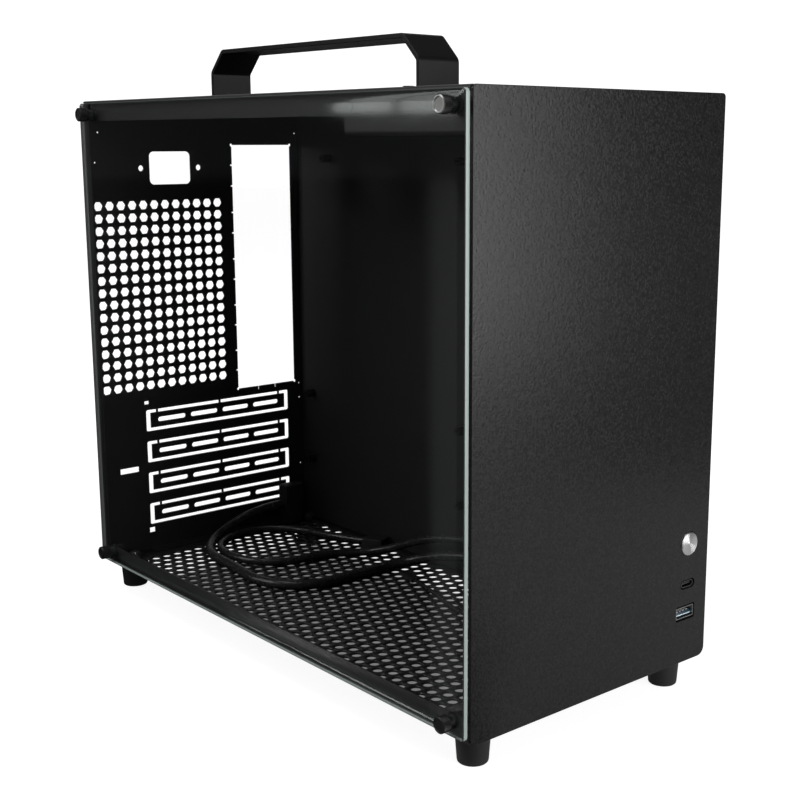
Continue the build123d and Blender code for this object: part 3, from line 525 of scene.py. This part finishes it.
for place in ("front_left", "front_right", "rear_left", "rear_right"):
    low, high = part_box("foot_" + place)
    foot = turned(foot_outline, (0, 0, 1), 48)
    bmesh.ops.translate(foot, vec=((low.x + high.x) / 2, (low.y + high.y) / 2, 0), verts=foot.verts)
    finished("rubber_foot_" + place, foot, [rubber], replaces=["foot_" + place])
dress("glass_spacers", rubber)


# Glass side: one clear tempered pane with a ground, slightly green edge and a hole near
# each corner, held off the body by rubber rings.
def glass(name, colour, cover, roughness, cloud, metallic=0.0):
    """Glass of which a share reflects and the rest lets light straight through; its gloss is cloudy."""
    material = bpy.data.materials.new(name)
    material.use_nodes = True
    tree = material.node_tree
    shader = tree.nodes["Principled BSDF"]
    shader.inputs["Base Color"].default_value = (*colour, 1)
    shader.inputs["Metallic"].default_value = metallic
    shader.inputs["Alpha"].default_value = cover
    place = tree.nodes.new("ShaderNodeTexCoord")
    noise = tree.nodes.new("ShaderNodeTexNoise")
    noise.inputs["Scale"].default_value = 1 / cloud
    noise.inputs["Detail"].default_value = 4
    tree.links.new(place.outputs["Object"], noise.inputs["Vector"])
    gloss = tree.nodes.new("ShaderNodeMapRange")
    gloss.inputs["To Min"].default_value = roughness * 0.6
    gloss.inputs["To Max"].default_value = roughness * 1.6
    tree.links.new(noise.outputs["Fac"], gloss.inputs["Value"])
    tree.links.new(gloss.outputs["Result"], shader.inputs["Roughness"])
    return material


clear_glass = glass("clear_glass", (0.93, 1.0, 0.97), 0.055, 0.05, 60 * mm, metallic=1.0)
ground_edge = glass("ground_glass_edge", (0.38, 0.44, 0.42), 0.9, 0.3, 4 * mm)
# Painted shade: a dark copy of the edge glass, for the edges that face away from the light
painted_shade_edge = glass("painted_shade_glass_edge", (0.03, 0.038, 0.036), 0.97, 0.3, 4 * mm)
pane = bmesh.new()
pane.from_mesh(nodes["glass_panel"].data)
bmesh.ops.remove_doubles(pane, verts=pane.verts, dist=0.001 * mm)
pane_low, pane_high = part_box("glass_panel")
# The front, top and bottom edges catch the light in the ground edge's colour; the rear edge, the chamfers
# and the holes have painted shade, a dark copy of that glass
for face in pane.faces:
    middle = face.calc_center_median()
    to_outline = min(middle.y - pane_low.y, middle.z - pane_low.z, pane_high.z - middle.z)
    if abs(face.normal.x) < 0.99:
        face.material_index = 1 if abs(face.normal.x) < 0.1 and to_outline < 1.5 * mm else 2
finished("glass_pane", pane, [clear_glass, ground_edge, painted_shade_edge], replaces=["glass_panel"])


# Thumbscrews: turned steel with a knurled head and a ring raised round its face, black
# coated; the top front one has a painted highlight, pale metal on its face and ring where the light
# falls; each bears on a washer.
# Painted highlight for the top front screw: a pale metal face and a bright ring, lighter than the black
# coat of the others
painted_highlight_face = surface(
    "painted_highlight_screw_face",
    (0.10, 0.10, 0.10),
    (0.62, 0.62, 0.61),
    0.4,
    0.45 * mm,
    0.05 * mm,
    metallic=0.9,
    spread=0.15,
)
painted_highlight_ring = surface(
    "painted_highlight_ring",
    (0.4, 0.4, 0.4),
    (0.85, 0.85, 0.84),
    0.34,
    0.6 * mm,
    0.01 * mm,
    metallic=1.0,
    spread=0.1,
)
washer_steel = surface(
    "washer_steel", (0.05, 0.05, 0.05), (0.12, 0.12, 0.12), 0.3, 0.5 * mm, 0.01 * mm, metallic=1.0
)
head_outer = -86.45
knurls = 30
rings_of_the_rim = 4
# (depth behind the head's outer face, radius, depth of the knurl's grooves) of each ring, in mm
screw_rings = [
    (0.45, 2.75, 0.0),
    (0.12, 2.95, 0.0),
    (0.0, 3.15, 0.0),
    (0.0, 3.45, 0.0),
    (0.4, 3.88, 0.0),
    (0.55, 3.9, 0.28),
    (4.3, 3.9, 0.28),
    (4.45, 3.75, 0.0),
    (5.1, 3.6, 0.0),
    (5.1, 1.45, 0.0),
    (15.1, 1.45, 0.0),
]
for place in ("top_front", "top_rear", "bottom_front", "bottom_rear"):
    low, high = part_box("thumbscrew_" + place)
    screw_y = (low.y + high.y) / 2
    screw_z = (low.z + high.z) / 2
    screw = bmesh.new()
    depth, radius, knurl = screw_rings[0]
    bmesh.ops.create_circle(screw, cap_ends=True, segments=2 * knurls, radius=radius * mm)
    bmesh.ops.rotate(screw, cent=(0, 0, 0), matrix=Matrix.Rotation(-pi / 2, 3, "Y"), verts=screw.verts)
    bmesh.ops.translate(screw, vec=((head_outer + depth) * mm, 0, 0), verts=screw.verts)
    screw.faces.ensure_lookup_table()
    screw.faces[0].material_index = 1
    edges = [edge for edge in screw.edges if edge.is_boundary]
    for step, (depth, radius, knurl) in enumerate(screw_rings[1:], 1):
        grown = bmesh.ops.extrude_edge_only(screw, edges=edges)["geom"]
        for face in grown:
            if isinstance(face, bmesh.types.BMFace):
                face.material_index = 2 if step <= rings_of_the_rim else 0
        for v in grown:
            if isinstance(v, bmesh.types.BMVert):
                turn = atan2(v.co.z, v.co.y)
                reach = radius - knurl * (round(turn / pi * knurls) % 2)
                v.co = ((head_outer + depth) * mm, reach * cos(turn) * mm, reach * sin(turn) * mm)
        edges = [edge for edge in grown if isinstance(edge, bmesh.types.BMEdge) and edge.is_boundary]
    bmesh.ops.edgeloop_fill(screw, edges=edges)
    bmesh.ops.recalc_face_normals(screw, faces=screw.faces)
    bmesh.ops.translate(screw, vec=(0, screw_y, screw_z), verts=screw.verts)
    # Only the top front screw gets the painted highlight on its face and ring; the others stay black
    face_and_ring = [painted_highlight_face, painted_highlight_ring] if place == "top_front" else [black_zinc, black_zinc]
    finished(
        "knurled_screw_" + place,
        screw,
        [black_zinc, *face_and_ring],
        body="thumbscrew_" + place,
        replaces=["thumbscrew_" + place],
        sharp=25,
    )
    dress("washer_" + place, washer_steel)


# Power button: a turned aluminium cap with a chamfered rim, its face brushed round and
# round, on a stem with a flange that stays behind the panel.
# (radius, place along Y) of the cap, its flange and its stem, in mm
cap_outline = [
    (0, -171.8),
    (5.45, -171.8),
    (5.62, -171.75),
    (5.95, -171.4),
    (6.0, -171.2),
    (6.0, -168.9),
    (7.4, -168.9),
    (7.4, -167.9),
    (2.0, -167.9),
    (2.0, -161.7),
    (0, -161.7),
]
brushed = bpy.data.materials.new("brushed_cap")
brushed.use_nodes = True
tree = brushed.node_tree
shader = tree.nodes["Principled BSDF"]
shader.inputs["Metallic"].default_value = 1.0
shader.inputs["Anisotropic"].default_value = 0.9
shader.inputs["Anisotropic Rotation"].default_value = 0.25
tangent = tree.nodes.new("ShaderNodeTangent")
tangent.direction_type = "RADIAL"
tangent.axis = "Y"
tree.links.new(tangent.outputs["Tangent"], shader.inputs["Tangent"])
place = tree.nodes.new("ShaderNodeTexCoord")
middle = tree.nodes.new("ShaderNodeMapping")
middle.inputs["Location"].default_value = (-control_x * mm, 0, -button_z * mm)
tree.links.new(place.outputs["Object"], middle.inputs["Vector"])
grooves = tree.nodes.new("ShaderNodeTexWave")
grooves.wave_type = "RINGS"
grooves.rings_direction = "Y"
grooves.inputs["Scale"].default_value = 900
grooves.inputs["Distortion"].default_value = 1.5
grooves.inputs["Detail"].default_value = 3
tree.links.new(middle.outputs["Vector"], grooves.inputs["Vector"])
shade = tree.nodes.new("ShaderNodeMix")
shade.data_type = "RGBA"
shade.inputs["A"].default_value = (0.74, 0.74, 0.75, 1)
shade.inputs["B"].default_value = (0.86, 0.86, 0.87, 1)
tree.links.new(grooves.outputs["Fac"], shade.inputs["Factor"])
tree.links.new(shade.outputs["Result"], shader.inputs["Base Color"])
gloss = tree.nodes.new("ShaderNodeMapRange")
gloss.inputs["To Min"].default_value = 0.26
gloss.inputs["To Max"].default_value = 0.34
tree.links.new(grooves.outputs["Fac"], gloss.inputs["Value"])
tree.links.new(gloss.outputs["Result"], shader.inputs["Roughness"])

cap = turned(cap_outline, (0, 1, 0), 64)
bmesh.ops.translate(cap, vec=(control_x * mm, 0, button_z * mm), verts=cap.verts)
finished("button_cap", cap, [brushed], body="button", replaces=["power_button"], sharp=25)
plastic = surface(
    "black_plastic", (0.012, 0.012, 0.012), (0.022, 0.022, 0.022), 0.45, 0.4 * mm, 0.02 * mm
)
for node in ("button_guide", "switch_plunger", "power_switch", "usb_c_tongue"):
    dress(node, plastic)
for node in ("usb_a_boot", "usb_c_boot", "switch_boot"):
    finished(node + "_body", rounded_copy(node, 0.6), [plastic], replaces=[node])


# Sockets: drawn steel shells, the larger with a blue tongue that has a pale tip and four
# gilt contacts on top, all soldered to a small board behind the front panel.
shell_steel = surface(
    "shell_steel", (0.30, 0.30, 0.31), (0.45, 0.45, 0.45), 0.35, 0.5 * mm, 0.005 * mm, metallic=1.0
)
dark_steel = surface(
    "dark_steel", (0.10, 0.10, 0.10), (0.17, 0.17, 0.17), 0.35, 0.5 * mm, 0.005 * mm, metallic=1.0
)
blue = surface("blue_tongue", (0.004, 0.020, 0.036), (0.006, 0.030, 0.052), 0.35, 0.4 * mm, 0.01 * mm)
pale_tip = surface("pale_tip", (0.55, 0.68, 0.74), (0.66, 0.80, 0.86), 0.4, 0.4 * mm, 0.01 * mm)
gilt = surface("gilt", (0.75, 0.72, 0.64), (0.90, 0.87, 0.80), 0.3, 0.4 * mm, 0.003 * mm, metallic=0.4)
board_green = surface(
    "solder_mask", (0.005, 0.03, 0.015), (0.008, 0.045, 0.022), 0.35, 1.5 * mm, 0.01 * mm
)
# The tongue's pale tip is the lower part of its end; the blue above it starts farther back
tip_height = 1.4
tip_length = 0.5
tongue = rounded_copy("usb_a_tongue", 0.15)
tongue_front = min(v.co.y for v in tongue.verts)
tip_top = min(v.co.z for v in tongue.verts) + tip_height * mm
everything = [*tongue.verts, *tongue.edges, *tongue.faces]
bmesh.ops.bisect_plane(tongue, geom=everything, plane_co=(0, 0, tip_top), plane_no=(0, 0, 1))
for face in tongue.faces:
    middle = face.calc_center_median()
    face.material_index = 1 if middle.y < tongue_front + 0.2 * mm and middle.z < tip_top else 0
for v in tongue.verts:
    if v.co.z > tip_top + 0.1 * mm and v.co.y < tongue_front + tip_length * mm:
        v.co.y += tip_length * mm
finished("blue_tongue", tongue, [blue, pale_tip], replaces=["usb_a_tongue"])
dress("usb_a_shell", shell_steel)
dress("usb_c_shell", dark_steel)
dress("usb_a_contacts", gilt)
dress("io_board", board_green)


# Studio: a floor that the camera sees white but for a painted shadow under the case, a dark room with a
# paler wall behind the case, dark cards for the reflections, and soft lamps.
def staged(name, shape, material):
    """Stage piece from a finished bmesh."""
    data = bpy.data.meshes.new(name)
    shape.to_mesh(data)
    shape.free()
    data.materials.append(material)
    thing = bpy.data.objects.new(name, data)
    scene.collection.objects.link(thing)
    return thing


def direct_view(tree):
    """Light Path node, and a node that is 1 on rays from the camera and rays through glass."""
    paths = tree.nodes.new("ShaderNodeLightPath")
    seen = tree.nodes.new("ShaderNodeMath")
    seen.operation = "MAXIMUM"
    tree.links.new(paths.outputs["Is Camera Ray"], seen.inputs[0])
    tree.links.new(paths.outputs["Is Transmission Ray"], seen.inputs[1])
    return paths, seen


pale = bpy.data.materials.new("pale_floor")
pale.use_nodes = True
tree = pale.node_tree
shader = tree.nodes["Principled BSDF"]
shader.inputs["Base Color"].default_value = (0.28, 0.28, 0.28, 1)
shader.inputs["Roughness"].default_value = 0.9
shader.inputs["Specular IOR Level"].default_value = 0.1
shader.inputs["Emission Color"].default_value = (1, 1, 1, 1)
paths, seen = direct_view(tree)
spot = tree.nodes.new("ShaderNodeTexCoord")
distance = tree.nodes.new("ShaderNodeVectorMath")
distance.operation = "LENGTH"
tree.links.new(spot.outputs["Object"], distance.inputs[0])
whiter = tree.nodes.new("ShaderNodeMapRange")
whiter.inputs["From Min"].default_value = 0.2
whiter.inputs["From Max"].default_value = 0.5
whiter.inputs["To Min"].default_value = 0.9
whiter.inputs["To Max"].default_value = 1.0
tree.links.new(distance.outputs["Value"], whiter.inputs["Value"])
share = tree.nodes.new("ShaderNodeMath")
share.operation = "MULTIPLY"
tree.links.new(seen.outputs["Value"], share.inputs[0])
tree.links.new(whiter.outputs["Result"], share.inputs[1])

# The shadow under the case is painted: a dark box in the floor's glow that fades out past its edge
shadow_middle = (0.015, 0.016, 0)
shadow_half_size = (0.051, 0.134, 0)
shadow_fade = 0.016
spread_out = spot.outputs["Object"]
for operation, amount in (
    ("SUBTRACT", shadow_middle),
    ("ABSOLUTE", (0, 0, 0)),
    ("SUBTRACT", shadow_half_size),
    ("MAXIMUM", (0, 0, 0)),
):
    step = tree.nodes.new("ShaderNodeVectorMath")
    step.operation = operation
    step.inputs[1].default_value = amount
    tree.links.new(spread_out, step.inputs[0])
    spread_out = step.outputs["Vector"]
past_edge = tree.nodes.new("ShaderNodeVectorMath")
past_edge.operation = "LENGTH"
tree.links.new(spread_out, past_edge.inputs[0])
shadow = tree.nodes.new("ShaderNodeMapRange")
shadow.inputs["From Max"].default_value = shadow_fade
shadow.inputs["To Min"].default_value = 0.2
tree.links.new(past_edge.outputs["Value"], shadow.inputs["Value"])
lit = tree.nodes.new("ShaderNodeMath")
lit.operation = "MULTIPLY"
tree.links.new(share.outputs["Value"], lit.inputs[0])
tree.links.new(shadow.outputs["Result"], lit.inputs[1])
mirrored = tree.nodes.new("ShaderNodeMath")
mirrored.operation = "MULTIPLY_ADD"
mirrored.inputs[1].default_value = 0.15
tree.links.new(paths.outputs["Is Glossy Ray"], mirrored.inputs[0])
tree.links.new(lit.outputs["Value"], mirrored.inputs[2])
tree.links.new(mirrored.outputs["Value"], shader.inputs["Emission Strength"])
ground = bmesh.new()
bmesh.ops.create_grid(ground, x_segments=1, y_segments=1, size=6)
staged("studio_floor", ground, pale)


def card(name, shade, size, centre, turn):
    """Dark card just above the floor that only reflections see; it keeps the coats and the glass dark."""
    material = bpy.data.materials.new(name)
    material.use_nodes = True
    shader = material.node_tree.nodes["Principled BSDF"]
    shader.inputs["Base Color"].default_value = (0, 0, 0, 1)
    shader.inputs["Specular IOR Level"].default_value = 0
    shader.inputs["Emission Color"].default_value = (1, 1, 1, 1)
    shader.inputs["Emission Strength"].default_value = shade
    shape = bmesh.new()
    bmesh.ops.create_grid(shape, x_segments=1, y_segments=1, size=0.5)
    bmesh.ops.scale(shape, vec=(*size, 1), verts=shape.verts)
    about_z = Matrix.Rotation(radians(turn), 3, "Z")
    bmesh.ops.rotate(shape, cent=(0, 0, 0), matrix=about_z, verts=shape.verts)
    bmesh.ops.translate(shape, vec=(*centre, 1 * mm), verts=shape.verts)
    thing = staged(name, shape, material)
    thing.visible_camera = False
    thing.visible_diffuse = False
    thing.visible_transmission = False
    thing.visible_shadow = False


card("front_card", 0.12, (4, 6), (3.847, -1.231), 45)
card("left_card", 0.10, (4, 9), (-4.362, 1.803), 40.34)
card("rear_card", 0.0, (5, 9), (-1.094, 4.907), 40.34)

world = bpy.data.worlds.new("studio")
scene.world = world
world.use_nodes = True
tree = world.node_tree
backdrop = tree.nodes["Background"]
backdrop.inputs["Color"].default_value = (1, 1, 1, 1)
paths, seen = direct_view(tree)
heading = tree.nodes.new("ShaderNodeTexCoord")
facing = tree.nodes.new("ShaderNodeVectorMath")
facing.operation = "DOT_PRODUCT"
facing.inputs[1].default_value = (0.66, 0.75, 0)
tree.links.new(heading.outputs["Generated"], facing.inputs[0])
wall = tree.nodes.new("ShaderNodeMapRange")
wall.inputs["From Min"].default_value = 0.7
wall.inputs["From Max"].default_value = 0.9
wall.inputs["To Min"].default_value = 0.03
wall.inputs["To Max"].default_value = 0.65
tree.links.new(facing.outputs["Value"], wall.inputs["Value"])
unseen = tree.nodes.new("ShaderNodeMix")
unseen.inputs["A"].default_value = 0.35
tree.links.new(paths.outputs["Is Glossy Ray"], unseen.inputs["Factor"])
tree.links.new(wall.outputs["Result"], unseen.inputs["B"])
level = tree.nodes.new("ShaderNodeMix")
level.inputs["B"].default_value = 1.15
tree.links.new(seen.outputs["Value"], level.inputs["Factor"])
tree.links.new(unseen.outputs["Result"], level.inputs["A"])
tree.links.new(level.outputs["Result"], backdrop.inputs["Strength"])


def soft_lamp(name, place, aim, size, power):
    """Area lamp turned towards a point."""
    data = bpy.data.lights.new(name, "AREA")
    data.shape = "RECTANGLE"
    data.size, data.size_y = size
    data.energy = power
    lamp = bpy.data.objects.new(name, data)
    lamp.location = place
    lamp.rotation_euler = (Vector(aim) - Vector(place)).to_track_quat("-Z", "Y").to_euler()
    scene.collection.objects.link(lamp)


soft_lamp("top_lamp", (-0.2, 0.1, 1.9), (0, 0, 0.1), (1.2, 1.2), 13)
soft_lamp("front_lamp", (0.20, -0.96, 0.31), (0.20, 0, 0.31), (1.0, 0.6), 7.6)
soft_lamp("left_lamp", (-1.3, 0.6, 1.0), (0, 0, 0.2), (0.8, 0.8), 6)

# Two narrow lamps that the glass shows: they face the camera's mirror image in it
strip_height = 0.827
mirrored_camera = (0.2695, -0.5612, strip_height)
soft_lamp("rear_strip", (-1.311, 1.503, strip_height), mirrored_camera, (0.112, 1.0), 0.7)
soft_lamp("rear_lamp", (-1.465, 1.385, strip_height), mirrored_camera, (0.245, 1.0), 1.45)
